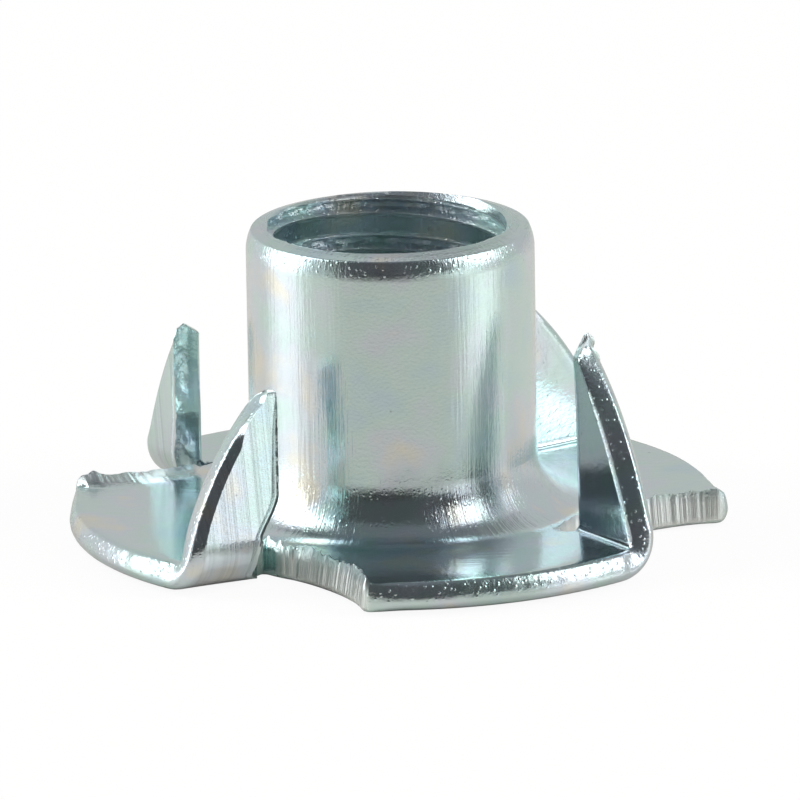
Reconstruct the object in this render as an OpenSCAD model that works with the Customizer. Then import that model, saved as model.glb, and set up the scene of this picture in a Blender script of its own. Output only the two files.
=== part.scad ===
// Four-prong tee nut, M10 x 1.5: a threaded barrel drawn up out of a round
// flange, with four pointed prongs sheared from the flange's edge and folded
// up beside the barrel. The whole nut is one pressing of steel sheet.
// Millimetres. Z runs up the barrel. The origin is the centre of the flange's
// underside, which is the face that stays outside the wood.
//
// A prong is drawn lying flat in the blank and is then folded. In its own
// frame the bend line runs along X, the prong lies towards -Y of that line,
// and its point is the corner nearest mid-flange. The press leaves each prong
// and notch a little different, so those sizes are lists, one value a prong.

/* [Barrel] */
// Height over all, from the flange's underside to the barrel's rim
nut_h = 12.7; // [10:0.1:20]
// Outside diameter of the barrel
barrel_d = 11.5; // [10.5:0.1:12]
// Diameter of the tapping hole, which is the bore at the thread's crests
bore_d = 9.3; // [7.5:0.1:9.8]
// Radius of the arc that leads the barrel's side in to its rim
rim_roll_r = 1.8; // [1.2:0.1:2.4]
// How far below the rim that arc starts
rim_roll_h = 0.83; // [0.3:0.01:1.1]
// Radius of the fillet between the barrel and the flange
fillet_r = 2.2; // [1:0.1:2.3]
// Radius of the drawn mouth on the underside
entry_r = 2.8; // [1:0.1:3.2]

/* [Flange] */
// Diameter of the round blank, and so of the flange
flange_d = 26; // [25:0.1:30]
// Thickness of the sheet
sheet_t = 1.2; // [0.8:0.05:1.5]
// Radius that the blanking die leaves on the rim's lower edge
die_roll_r = 0.62; // [0.2:0.01:0.7]

/* [Prongs] */
// Angle in plan of the first prong's bend line
bend_turn = 31; // [0:1:90]
// Distance from the nut's axis to each bend line
bend_offsets = [3, 3, 2.6, 2.9]; // [2.2:0.05:3.4]
// Fold of each prong up from the flange, in degrees
prong_folds = [99, 88, 94, 86]; // [78:1:100]
// Distance of each prong's sheared edge from mid-flange, at its foot
shear_feet = [8.25, 8, 8.1, 9]; // [7.6:0.05:9]
// Lean of the sheared edges towards mid-flange, in degrees
shear_lean = 5; // [0:0.5:7]
// Radius inside the bends
bend_r = 0.65; // [0.3:0.05:1]
// Depth of the unstretched layer in a bend, as a share of the sheet
neutral_layer = 0.45; // [0.33:0.01:0.5]
// How much longer the folding punch draws each prong
prong_stretches = [0.4, 0.8, 0.2, 0.45]; // [0:0.05:1]
// How much lower the inner face stops than the outer face at a prong's point
tip_bevel = 0.8; // [0.2:0.05:1.2]

/* [Notches] */
// Distance of the flange's free edge from mid-flange, where it is deepest
notch_edges = [7.15, 6.5, 7.1, 8.35]; // [6.4:0.05:8.4]
// Radius of the bow in the free edges
notch_bow_r = 10.9; // [8:0.1:30]
// Radius of the corner between a free edge and the rim
lobe_corner_r = 0.6; // [0.2:0.05:1]

/* [Hidden] */
$fn = 128;

flange_r = flange_d / 2;
barrel_r = barrel_d / 2;
bore_r = bore_d / 2;
bend_outer_r = bend_r + sheet_t;
prong_count = len(prong_folds);

// How far a cutter runs past the face that it cuts
overrun = 1;
// How far the circle that rounds a corner stands past the corner's two edges
corner_overlap = 0.05;
// How far a key reaches into each of the two pieces that it ties together
key_reach = 0.15;

// Length of flat sheet that goes into the bend of prong k
function bend_length(k) =
    (bend_r + neutral_layer * sheet_t) * prong_folds[k] * PI / 180 - prong_stretches[k];

// Distance of the blank's rim from mid-flange, at a distance behind the axis
function rim_reach(y) = sqrt(flange_r ^ 2 - y ^ 2);

// Distance of prong k's sheared edge from mid-flange, at a distance past its foot
function shear_reach(k, past) = shear_feet[k] - past * tan(shear_lean);

// Centre of the bow in notch k, level with the middle of the free edge
function bow_centre(k) =
    [-notch_edges[k] - notch_bow_r, -(bend_offsets[k] + rim_reach(notch_edges[k])) / 2];

// Where circles of radius r round the origin and radius s round c cross
function crossing(c, r, s) =
    let (d = norm(c), along = (r ^ 2 - s ^ 2 + d ^ 2) / (2 * d))
    along * c / d + sqrt(r ^ 2 - along ^ 2) * [-c[1], c[0]] / d;

// Solid disc with the blank's rim: sharp above, rolled over below
module blank() {
    rotate_extrude() {
        square([flange_r - die_roll_r, sheet_t]);
        translate([0, die_roll_r])
            square([flange_r, sheet_t - die_roll_r]);
        intersection() {
            translate([flange_r - die_roll_r, die_roll_r])
                circle(r = die_roll_r);
            square([flange_r, die_roll_r]);
        }
    }
}

// Outside of the barrel, with its rolled rim and its fillet
module barrel() {
    side_h = nut_h - rim_roll_h;
    rotate_extrude() {
        square([barrel_r, side_h]);
        translate([0, side_h - rim_roll_h])
            square([barrel_r - rim_roll_r, 2 * rim_roll_h]);
        intersection() {
            translate([barrel_r - rim_roll_r, side_h])
                circle(r = rim_roll_r);
            translate([0, side_h - rim_roll_h])
                square([barrel_r, 2 * rim_roll_h]);
        }
        difference() {
            square([barrel_r + fillet_r, sheet_t + fillet_r]);
            translate([barrel_r + fillet_r, sheet_t + fillet_r])
                circle(r = fillet_r);
        }
    }
}

// Through hole: the tapping bore, and the drawn mouth below it
module bore() {
    rotate_extrude() {
        translate([0, -overrun])
            square([bore_r, nut_h + 2 * overrun]);
        translate([0, -overrun])
            square([bore_r + entry_r, overrun]);
        difference() {
            square([bore_r + entry_r, entry_r]);
            translate([bore_r + entry_r, entry_r])
                circle(r = entry_r);
        }
    }
}

// What rounds off the corner between the free edge of notch k and the rim. The
// rounding circle stands a hair past both edges, so that it crosses them.
module lobe_corner_trim(k) {
    bow = bow_centre(k);
    inset = lobe_corner_r - corner_overlap;
    corner = crossing(bow, flange_r, notch_bow_r);
    middle = crossing(bow, flange_r - inset, notch_bow_r + inset);
    past_rim = middle * (flange_r + lobe_corner_r) / norm(middle);
    past_bow = middle + 2 * lobe_corner_r * (bow - middle) / norm(bow - middle);
    past_corner = corner + 2 * lobe_corner_r * (corner - middle) / norm(corner - middle);
    difference() {
        polygon([middle, past_rim, past_corner, past_bow]);
        translate(middle)
            circle(r = lobe_corner_r);
    }
}

// Plan of the gap that prong k leaves in the flange, open past the rim
module notch_plan(k) {
    intersection() {
        translate(bow_centre(k))
            circle(r = notch_bow_r);
        translate([-2 * flange_r, -2 * flange_r])
            square([2 * flange_r, 2 * flange_r - bend_offsets[k]]);
    }
    lobe_corner_trim(k);
}

// Moves flat sheet to where the given angle of prong k's fold carries it, once
// the given length of the sheet has gone into the bend
module folded(k, angle, used) {
    translate([0, -bend_offsets[k], bend_outer_r])
        rotate([-angle, 0, 0])
            translate([0, bend_offsets[k] + used, -bend_outer_r])
                children();
}

// Plan of flat prong k, from the given distance past its bend line
module prong_plan(k, start) {
    foot_y = -bend_offsets[k] - start;
    head_past = flange_r - bend_offsets[k];
    polygon([
        [-flange_r - overrun, foot_y],
        [-shear_reach(k, start), foot_y],
        [-shear_reach(k, head_past), -flange_r],
        [-flange_r - overrun, -flange_r]
    ]);
}

// Cuts the point of flat prong k on a slope, so the outer face ends in the point
module point_cutter(k) {
    point_y = -rim_reach(shear_reach(k, flange_r - bend_offsets[k]));
    translate([-flange_r, point_y, 0])
        rotate([90, 0, 90])
            linear_extrude(flange_r)
                polygon([
                    [0, 0],
                    [tip_bevel, sheet_t],
                    [tip_bevel, sheet_t + overrun],
                    [-2 * overrun, sheet_t + overrun],
                    [-2 * overrun, 0]
                ]);
}

// Flat part of prong k, beyond its bend
module prong_blade(k) {
    used = bend_length(k);
    folded(k, prong_folds[k], used)
        difference() {
            intersection() {
                blank();
                linear_extrude(sheet_t)
                    prong_plan(k, used);
            }
            point_cutter(k);
        }
}

// Section across the bend of prong k
module bend_section(k) {
    fold = prong_folds[k];
    far = 4 * bend_outer_r;
    intersection() {
        difference() {
            circle(r = bend_outer_r);
            circle(r = bend_r);
        }
        polygon([
            [0, 0],
            [0, -far],
            [-far * sin(fold / 2), -far * cos(fold / 2)],
            [-far * sin(fold), -far * cos(fold)]
        ]);
    }
}

// Plan of prong k's bend laid flat: the prong's plan, cut along the rim's chord
module bend_plan(k) {
    start_y = -bend_offsets[k];
    end_y = start_y - bend_length(k);
    slope = (rim_reach(start_y) - rim_reach(end_y)) / bend_length(k);
    intersection() {
        prong_plan(k, -overrun);
        polygon([
            [-rim_reach(start_y) - slope * overrun, start_y + overrun],
            [0, start_y + overrun],
            [0, end_y - overrun],
            [-rim_reach(end_y) + slope * overrun, end_y - overrun]
        ]);
    }
}

// Cone along the blank's radius through the bend. It takes off the bend's outer
// corner at the rim, where the flange's rolled edge passes into the prong's.
module bend_corner_cone(k) {
    middle_y = bend_offsets[k] + bend_length(k) / 2;
    small_r = bend_outer_r - die_roll_r / 2;
    translate([-rim_reach(middle_y), -middle_y, bend_outer_r])
        rotate([0, 90, asin(middle_y / flange_r)])
            cylinder(h = flange_r, r1 = small_r, r2 = small_r + flange_r);
}

// Bend of prong k. Its ends follow the blank's rim and the sheared edge.
module prong_bend(k) {
    intersection() {
        translate([-flange_r, -bend_offsets[k], bend_outer_r])
            rotate([90, 0, 90])
                linear_extrude(flange_r)
                    bend_section(k);
        folded(k, prong_folds[k] / 2, bend_length(k) / 2)
            translate([0, 0, -overrun])
                linear_extrude(bend_outer_r + 2 * overrun)
                    bend_plan(k);
        folded(k, prong_folds[k] / 2, bend_length(k) / 2)
            bend_corner_cone(k);
    }
}

// Block inside the sheet across prong k's bend line, which ties the pieces there
module key(k) {
    room = flange_r - shear_feet[k];
    translate([-flange_r + room / 3, -bend_offsets[k] - key_reach, sheet_t / 3])
        cube([room / 3, 2 * key_reach, sheet_t / 3]);
}

module prong(k) {
    prong_bend(k);
    prong_blade(k);
    key(k);
    folded(k, prong_folds[k], 0)
        key(k);
}

module tee_nut() {
    color("lightsteelblue")
        rotate([0, 0, bend_turn])
            difference() {
                union() {
                    difference() {
                        union() {
                            blank();
                            barrel();
                        }
                        for (k = [0:prong_count - 1])
                            rotate([0, 0, k * 360 / prong_count])
                                translate([0, 0, -overrun])
                                    linear_extrude(sheet_t + 2 * overrun)
                                        notch_plan(k);
                    }
                    for (k = [0:prong_count - 1])
                        rotate([0, 0, k * 360 / prong_count])
                            prong(k);
                }
                bore();
            }
}

tee_nut();
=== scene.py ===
# %% [markdown]
# # A four-prong tee nut in blue-passivated zinc
# A tee nut is one pressing: a barrel is drawn up out of steel sheet and
# threaded, a round flange is blanked round it, and four prongs are sheared
# from the flange's edge and folded up. The solid is loaded first, as a fixed
# frame. A finely meshed skin then takes its place, with the thread, the torn
# edges and the plating that the solid leaves out.

# %% Load the solid and keep its box
from math import atan2, cos, hypot, pi, radians, sin, sqrt, tan

import bmesh
import bpy
import numpy as np
from mathutils import Matrix, Vector
from mathutils.geometry import delaunay_2d_cdt


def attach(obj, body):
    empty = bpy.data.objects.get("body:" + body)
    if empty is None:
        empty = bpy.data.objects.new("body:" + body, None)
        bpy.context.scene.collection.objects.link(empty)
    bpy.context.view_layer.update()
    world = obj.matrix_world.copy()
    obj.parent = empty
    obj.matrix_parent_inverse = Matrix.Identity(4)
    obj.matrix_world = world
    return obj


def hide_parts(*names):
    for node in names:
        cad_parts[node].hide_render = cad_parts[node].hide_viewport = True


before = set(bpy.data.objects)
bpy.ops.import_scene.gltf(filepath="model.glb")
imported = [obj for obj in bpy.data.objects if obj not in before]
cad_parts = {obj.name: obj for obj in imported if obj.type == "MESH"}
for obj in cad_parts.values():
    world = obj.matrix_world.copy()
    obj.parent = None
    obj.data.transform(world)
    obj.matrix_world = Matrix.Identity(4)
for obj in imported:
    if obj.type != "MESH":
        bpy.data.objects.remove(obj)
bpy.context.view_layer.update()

# %% [markdown]
# ## Sizes
# Every length here is in millimetres, as on a shop drawing, and is turned to
# metres only when a mesh is made. The numbers are those of the solid, to a few
# hundredths, so the skin lies where the solid lies. Each prong came out of the
# press a little different, so a prong's sizes are lists.

# %% Sizes of the pressing
NUT_H = 12.7
BARREL_R = 5.75
CREST_R = 4.65
MOUTH_ROUND_R = 2.8
FLANGE_R = 13.0
SHEET_T = 1.2
# How far in and how high the blanking die has rolled the rim's lower edge.
DIE_ROLL_R = 0.62
DIE_ROLL_H = 0.5
BEND_TURN = radians(31)
BEND_OFFSETS = [3.0, 3.0, 2.6, 2.92]
PRONG_FOLDS = [radians(a) for a in (99, 88, 94, 86)]
SHEAR_FEET = [8.27, 8.0, 8.1, 9.03]
SHEAR_LEAN = tan(radians(5))
BEND_OUTER_R = 1.85
BEND_INNER_R = 0.65
# How deep the layer that keeps its length lies, as a share of the sheet.
NEUTRAL_LAYER = 0.45
PRONG_STRETCHES = [0.4, 0.8, 0.2, 0.45]
NOTCH_EDGES = [7.15, 6.5, 7.1, 8.35]
NOTCH_BOW_R = 10.9
LOBE_CORNER_R = 0.6
print("prongs:", len(PRONG_FOLDS), "sheet:", SHEET_T, "mm")

# %% [markdown]
# ## Folding flat sheet
# A press folds a prong that is cut out flat, so the lesson does the same. A
# point of the flat sheet has x along the bend line, y across it, and w, its
# height in the sheet. A rotation would carry the whole prong, but it couldn't
# make the bend, so this function walks each point round it. The punch leaves a
# sharp crease inside and a wide round outside, so the walk's radius depends on w.

# %% Fold points of flat sheet up into a prong
# Radius of the crease that the punch leaves inside each bend.
CREASE_R = 0.22


def sheet_used(k):
    """Length of flat sheet that goes into the bend of prong k."""
    middle_r = BEND_INNER_R + NEUTRAL_LAYER * SHEET_T
    return middle_r * PRONG_FOLDS[k] - PRONG_STRETCHES[k]


def fold(k, x, y, w):
    """Where points of flat prong k lie once it is folded, in the prong's own frame."""
    turn, used, start = PRONG_FOLDS[k], sheet_used(k), -BEND_OFFSETS[k]
    x, y, w = np.broadcast_arrays(x, y, w)
    past = start - y
    depth = np.clip(w / SHEET_T, -0.2, 1)
    radius = BEND_OUTER_R * (1 - depth) + CREASE_R * depth
    lead = (BEND_OUTER_R - w - radius) * tan(turn / 2)
    walk = np.clip(past / used, 0, 1) * (2 * lead + radius * turn)
    angle = np.clip((walk - lead) / radius, 0, turn)
    flat = np.minimum(walk, lead)
    rise = np.maximum(walk - lead - radius * turn, 0)
    beyond = np.maximum(past - used, 0) + rise
    before = np.minimum(past, 0) + flat
    new_y = start - before - radius * np.sin(angle) - beyond * cos(turn)
    new_z = w + radius * (1 - np.cos(angle)) + beyond * sin(turn)
    return np.stack([x, new_y, new_z], -1)


def turned(k, points):
    """Points of prong k's frame, turned to their place round the barrel."""
    a = BEND_TURN + k * pi / 2
    c, s = cos(a), sin(a)
    x, y = points[..., 0], points[..., 1]
    return np.stack([c * x - s * y, s * x + c * y, points[..., 2]], -1)


print("sheet in each bend, mm:", [round(sheet_used(k), 2) for k in range(4)])

# %% [markdown]
# ## Edges of the sheet
# No edge of a pressing is square. Blanking rolls the rim's lower edge over,
# and shearing leaves a small roll where the tool enters and a ragged burr where
# it leaves. Each edge is drawn as a short ladder of points. All have the same
# number of rungs, so one melts into the next. A bevel modifier would round
# every edge alike.

# %% Ladders of the three kinds of edge
def ladder(*rungs):
    """Rungs: how far in from the edge, and how high in the sheet, each one is."""
    return np.array(rungs, float)


roll = [(DIE_ROLL_R * (1 - sin(a)), DIE_ROLL_H * (1 - cos(a)))
        for a in np.linspace(0, pi / 2, 7)]
RIM_EDGE = ladder((DIE_ROLL_R + 0.2, 0), *roll, (0.03, 0.66), (0.08, 0.82), (0.15, 0.98),
                  (0.23, 1.1), (0.33, 1.18), (0.5, 1.2))
CUT_EDGE = ladder((0.45, 0), (0.25, 0), (0.12, 0.03), (0.04, 0.09), (0, 0.2),
                  (0, 0.38), (0, 0.56), (0, 0.74), (0, 0.92), (0, 1.08),
                  (0, 1.2), (0.06, 1.2), (0.16, 1.2), (0.4, 1.2))
PLAIN_EDGE = ladder((0.4, 0), (0.2, 0), (0.06, 0), (0, 0), (0, 0.17), (0, 0.34),
                    (0, 0.51), (0, 0.69), (0, 0.86), (0, 1.03), (0, 1.2),
                    (0.06, 1.2), (0.2, 1.2), (0.4, 1.2))
RUNGS = len(RIM_EDGE)
print("rungs on each edge:", RUNGS, len(CUT_EDGE), len(PLAIN_EDGE))

# %% What the tools do to each rung
BURR = np.array([0] * 9 + [0.15, 1, 1, 0.25, 0])
# A burr drawn up into a lip: how high, and how much wider, each rung is.
LIP = np.array([0] * 9 + [0.15, 0.85, 1, 0.5, 0])
LIP_WIDTHS = np.array([0] * 11 + [0.06, 0.3, 0.5])
# A sheared face leans back a little towards its burr.
CUT_LEAN = np.array([0] * 5 + [0.03, 0.06, 0.09, 0.12, 0.15, 0.17, 0.17, 0.16, 0.16])
# Which rungs of a cut the tool has grooved, and which of them are dull.
CUT_GROOVED = np.array([0] * 3 + [0.3] + [1] * 7 + [0.6, 0.2, 0])
CUT_DULL = np.array([0] * 3 + [0.4] + [1] * 5 + [0.7, 0.15, 0, 0, 0])
# A prong is sheared from the other side, so its ladder is upside down.
PRONG_CUT = np.stack([CUT_EDGE[::-1, 0], SHEET_T - CUT_EDGE[::-1, 1]], 1)
PRONG_BURR = -BURR[::-1]
PRONG_GROOVED = np.array([0, 0.2, 0.6] + [1] * 7 + [0.3, 0, 0, 0])
# The outer third of a prong's sheared face has torn instead of shearing clean.
PRONG_TORN = np.array([0, 0, 0.3, 0.8, 1, 0.7, 0.15] + [0] * 7)
# How strongly the blanking tools have rubbed each rung of the rim, and torn it.
RIM_RUBBED = np.array([0.1, 0.1, 0.15, 0.15, 0.2, 0.2, 0.3, 0.6, 1, 1, 1, 1, 0.6, 0.1])
RIM_TORN = np.array([0] * 8 + [0.5, 1, 1, 1, 0.6, 0])
print("rungs with a burr:", int((BURR > 0).sum()), "torn:", int((PRONG_TORN > 0).sum()))

# %% [markdown]
# ## Raggedness
# Torn steel has lumps of every size, and each run of the lesson has to tear it
# the same way. A random generator would depend on the order of its draws. This
# wave doesn't: each place along an edge has its own number.

# %% A repeatable ragged wave
def ragged(t, seed, size):
    """A rough, repeatable wave along t, from about -1 to 1, with lumps of the given size."""
    t = np.asarray(t, float) / size
    i = np.floor(t).astype(int)
    f = t - i
    f = f * f * (3 - 2 * f)

    def lump(n):
        h = np.sin(n * 12.9898 + seed * 78.233) * 43758.5453
        return 2 * (h - np.floor(h)) - 1

    return lump(i) * (1 - f) + lump(i + 1) * f


print("a bit of a burr:", np.round(ragged(np.arange(0, 1, 0.2), 1, 0.3), 2))

# %% [markdown]
# ## Gathering the mesh
# The skin is one mesh made of several sheets of quads and triangles. All go
# into one list, with four numbers a point for the plating's material: whether
# it lies on a sheared face, how far along that face it is, how much the tools
# have rubbed it, and whether the folding punch has scuffed it.

# %% A list for points, faces and their marks
MARKS = ("sheared", "run", "rubbed", "scuffed")
points, faces, marks = [], [], []


def add_points(p, sheared=0.0, run=0.0, rubbed=0.0, scuffed=0.0):
    """Adds points and their marks. Returns the number of each point."""
    p = np.asarray(p, float)
    start = sum(len(q) for q in points)
    flat = p.reshape(-1, 3)
    points.append(flat)
    marks.append(np.stack([np.broadcast_to(m, p.shape[:-1]).reshape(-1)
                           for m in (sheared, run, rubbed, scuffed)], 1))
    return np.arange(start, start + len(flat)).reshape(p.shape[:-1])


def add_quads(n, round_trip=False):
    """Joins a grid of point numbers with quads; a round trip also joins its ends."""
    if round_trip:
        n = np.concatenate([n, n[:, :1]], 1)
    quads = np.stack([n[:-1, :-1], n[:-1, 1:], n[1:, 1:], n[1:, :-1]], -1)
    faces.extend(quads.reshape(-1, 4).tolist())


print("marks:", *MARKS)

# %% [markdown]
# ## The flange's outline
# The outline runs round the blank as the tool cut it: along a prong's bend
# line, across the end of its notch, out along the flange's free edge, round a
# small corner and along the rim to the next prong. The free edge is a shallow
# bow. It is worked out as circles that touch, which gives true tangents.

# %% Circles, arcs and smooth steps
def rim_reach(y):
    """Distance of the blank's rim from mid-flange, at a distance behind the axis."""
    return sqrt(FLANGE_R ** 2 - y ** 2)


def touching(c, r, s):
    """Where circles of radius r round the origin and s round c cross."""
    d = hypot(*c)
    along = (r * r - s * s + d * d) / (2 * d)
    side = sqrt(r * r - along * along)
    return np.array([along * c[0] - side * c[1], along * c[1] + side * c[0]]) / d


def arc(centre, radius, a, b, n):
    """Points along an arc, from angle a to angle b."""
    t = np.linspace(a, b, n)
    return np.stack([centre[0] + radius * np.cos(t), centre[1] + radius * np.sin(t)], 1)


def smooth(t):
    """Eases from 0 to 1 as t does."""
    t = np.clip(t, 0, 1)
    return t * t * (3 - 2 * t)


print("half the first bend line, mm:", round(rim_reach(BEND_OFFSETS[0]), 2))

# %% One quarter of the outline
# Points along each stretch: by the foot, the free edge, the corner and the rim.
FOOT_POINTS, FREE_POINTS, CORNER_POINTS, RIM_POINTS = 9, 130, 12, 90
# How far the shear has dragged each lobe's corner outward.
CORNER_PUSH = [0.0, 0.36, 0.0, 0.1]
CORNER_PUSH_REACH = 1.3
# How long before the next prong the ladders start to swing.
SWING_LENGTH = 2.5


def stretches(k):
    """The four stretches of quarter k, and the outward directions along each."""
    bow = np.array([-NOTCH_EDGES[k] - NOTCH_BOW_R,
                    -(BEND_OFFSETS[k] + rim_reach(NOTCH_EDGES[k])) / 2])
    middle = touching(bow, FLANGE_R - LOBE_CORNER_R, NOTCH_BOW_R + LOBE_CORNER_R)
    line_y = -BEND_OFFSETS[k]
    root_x = bow[0] + sqrt(NOTCH_BOW_R ** 2 - (line_y - bow[1]) ** 2)
    root = np.stack([np.linspace(-SHEAR_FEET[k], root_x, FOOT_POINTS),
                     np.full(FOOT_POINTS, line_y)], 1)
    a0 = atan2(line_y - bow[1], root_x - bow[0])
    a1 = atan2(middle[1] - bow[1], middle[0] - bow[0])
    free = arc(bow, NOTCH_BOW_R, a0, a1, FREE_POINTS)[1:]
    c0 = atan2(bow[1] - middle[1], bow[0] - middle[0])
    c1 = atan2(middle[1], middle[0])
    c1 += 2 * pi * (c1 < c0)
    corner = arc(middle, LOBE_CORNER_R, c0, c1, CORNER_POINTS)[1:]
    following = BEND_OFFSETS[(k + 1) % 4]
    end = atan2(-following, -rim_reach(following)) + 2 * pi + pi / 2
    rim = arc((0, 0), FLANGE_R, c1 % (2 * pi), end, RIM_POINTS)[1:]
    ways = [np.tile([0.0, -1.0], (FOOT_POINTS, 1)), (bow - free) / NOTCH_BOW_R,
            (corner - middle) / LOBE_CORNER_R, rim / FLANGE_R]
    # The turn from the foot to the free edge is mitred.
    ways[0][-1] = (-0.5, -0.5)
    return [root, free, corner, rim], ways


def quarter(k):
    """Places, outward directions and kinds of edge from prong k's foot to the next prong."""
    parts, ways = stretches(k)
    tip = parts[2][CORNER_POINTS // 2]
    places, out = np.concatenate(parts), np.concatenate(ways)
    # A corner that the shear has dragged outward stands proud of the blank.
    near = np.exp(-(np.hypot(*(places - tip).T) / CORNER_PUSH_REACH) ** 2)
    places = places * (1 + CORNER_PUSH[k] * near / FLANGE_R)[:, None]
    # Towards the next prong the ladder swings round to run along its bend line.
    run = np.concatenate([[0], np.cumsum(np.hypot(*np.diff(places, axis=0).T))])
    swing = smooth(1 - (run[-1] - run) / SWING_LENGTH)[:, None]
    out = out * (1 - swing) + np.array([0.0, -1.0]) * swing
    past_free = np.arange(len(places)) - FOOT_POINTS - FREE_POINTS + 2
    rimness = smooth(past_free / (CORNER_POINTS - 1))
    cutness = (1 - rimness) * smooth(run / 0.6)
    return places, out, run, rimness, cutness


sample = quarter(0)
print("outline points in a quarter:", len(sample[0]), "run, mm:", round(sample[2][-1], 2))

# %% [markdown]
# ## The flange's walls
# Each point of the outline grows into its ladder, and quads join the ladders
# into the wall round the flange. The burr along a free edge stands up by a
# tenth of a millimetre or two, unevenly, and the tool has scored the face under
# it, so both get a little raggedness.

# %% How the shear left each free edge
# How tall each burr is, how lumpy, and how much taller it grows over 8 mm.
BURR_H = [0.24, 0.2, 0.15, 0.2]
BURR_LUMPS = [1.3, 1.1, 1.0, 0.45]
BURR_RISE = [0.0, 0.2, 0.0, 1.2]
# Whether the burr is drawn up into a lip, and whether the face under it leans.
LIPPED = [False, False, False, True]
CUT_LEANS = [1.0, 1.0, 1.0, 0.0]
# How far each burr is bent back, as a share of its height.
BURR_LEANS = [0.45, 0.0, 0.4, -0.3]
# Where the burr starts only past the end of the bend.
PLAIN_ROOTS = [0.0, 1.0, 0.0, 0.0]
# Knobs where the burr has curled up: how far along the edge, how high, how long.
KNOBS = [[(0.55, 0.2, 0.22), (1.15, 0.22, 0.16), (2.7, 0.16, 0.4)],
         [(5.2, 0.1, 0.3), (6.1, 0.08, 0.2)], [(1.0, 0.15, 0.3)], [(6.15, 0.16, 0.2)]]
print("knobs on each burr:", [len(knobs) for knobs in KNOBS])

# %% Walls of the four quarters
def burr_height(k, run):
    """How high the burr stands along free edge k."""
    lumps = 0.2 * ragged(run, k, 0.6) + 0.22 * ragged(run, k + 9, 0.17)
    height = BURR_H[k] * (0.75 + BURR_LUMPS[k] * lumps + BURR_RISE[k] * run / 8)
    for where, high, long in KNOBS[k]:
        height = height + high * np.exp(-((run - where) / long) ** 2)
    height = np.maximum(height, 0) * (1 - PLAIN_ROOTS[k] * (1 - smooth((run - 0.9) / 0.6)))
    return height * smooth((run - 1.1) / 0.5) if LIPPED[k] else height


def wall(k):
    """Adds quarter k's wall. Returns its point numbers, a row for each place."""
    places, out, run, rimness, cutness = quarter(k)
    rim, cut = rimness[:, None, None], cutness[:, None, None]
    rungs = rim * RIM_EDGE + cut * CUT_EDGE + (1 - rim - cut) * PLAIN_EDGE
    inset, w = rungs[..., 0].copy(), rungs[..., 1].copy()
    corner_end = run[-RIM_POINTS]
    lean = cutness * smooth((run - 1.3) / 1.2) * smooth((corner_end - 0.3 - run) / 0.9)
    inset += CUT_LEANS[k] * CUT_LEAN * lean[:, None]
    # The ladders are drawn in where the outline turns sharply.
    inset *= (1 - 0.55 * np.exp(-((run - 1.1) / 0.9) ** 2))[:, None]
    inset *= (0.55 + 0.45 * smooth(np.abs(run - corner_end + 0.4) / 1.6))[:, None]
    tall = cutness * burr_height(k, run)
    w += (LIP if LIPPED[k] else BURR) * tall[:, None]
    inset += LIPPED[k] * LIP_WIDTHS * (cutness * smooth((run - 1.1) / 0.8))[:, None]
    # The burr is bent back over the flange, or a little way out from it.
    inset += BURR * (tall * BURR_LEANS[k])[:, None]
    score = (0.016 * ragged(run, k + 20, 0.13) + 0.02 * ragged(run, k + 30, 0.29)
             + 0.02 * ragged(run, k + 35, 0.7))
    shift = inset + CUT_GROOVED * (cutness * score)[:, None]
    # The rim is dented a little where the blanking punch tore it.
    dent = 0.014 * ragged(run, k + 80, 0.21) + 0.01 * ragged(run, k + 90, 0.5)
    shift = shift + RIM_TORN * (rimness * smooth((run[-1] - run) / 0.5) * dent)[:, None]
    xy = places[:, None] - out[:, None] * shift[..., None]
    p = np.concatenate([xy, w[..., None]], -1)
    sheared = cutness * smooth((run - 0.8) / 0.5)
    sheared = sheared[:, None] * np.where(LIPPED[k] * LIP > 0.4, 0.6, CUT_DULL)
    rubbed = rimness[:, None] * RIM_RUBBED + cutness[:, None] * BURR * 1.5
    n = add_points(turned(k, p), sheared, run[:, None], rubbed)
    add_quads(n)
    return n


walls = [wall(k) for k in range(4)]
print("wall points:", sum(n.size for n in walls))

# %% [markdown]
# ## The prongs
# A prong is a tube of quads drawn flat. Each ring goes up the rim's ladder,
# across the inner face, down the sheared edge's ladder and back across the
# outer face. The rings follow the blank from the bend line to the point, and
# the fold carries them up. The inner face stops short of the outer one, which
# leaves a chisel point. A bent box would be quicker, but its rim wouldn't run
# on from the flange's.

# %% How the press left each prong
# The roll along each prong's rim: how wide, how deep, and how much the point lacks.
ROLL_WIDTHS = [0.5, 0.62, 0.62, 0.62]
ROLL_DEPTHS = [0.35, 0.5, 0.5, 0.5]
ROLL_ENDS = [0.8, 0.0, 0.0, 0.0]
# Where the rungs of the roll lie once it has been pressed into a slope.
SLOPE_RUNGS = np.array([0, 0.06, 0.34, 0.64, 0.84, 0.95, 1])
# How square the rim's burred corner stands on each prong.
SQUARED = [0.7, 0.0, 0.0, 0.2]
# How far the punch has drawn each prong's rim in, and how much further inside.
RIM_PULL = [0.1, 0.26, 0.12, 0.34]
INNER_PULL = [0.1, 0.3, 0.0, 0.1]
# Each point: how wide it is cut, how far the punch draws it up, and how much
# lower the inner face stops. It is highest at TIP_DEPTH in the sheet.
TIP_WIDTHS = [0.75, 0.22, 0.3, 0.45]
TIP_LIFTS = [0.44, 0.65, 0.15, 0.3]
TIP_BEVELS = [0.55, 1.0, 0.8, 0.5]
TIP_DEPTH = 0.35
TIP_ROUND = 0.7
# How far each sheared edge stands towards the rim, and how far more its foot does.
EDGE_SHIFTS = [0.05, 0.0, 0.0, 0.0]
FOOT_SWEEPS = [0.93, 0.0, 0.0, 0.25]
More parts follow.
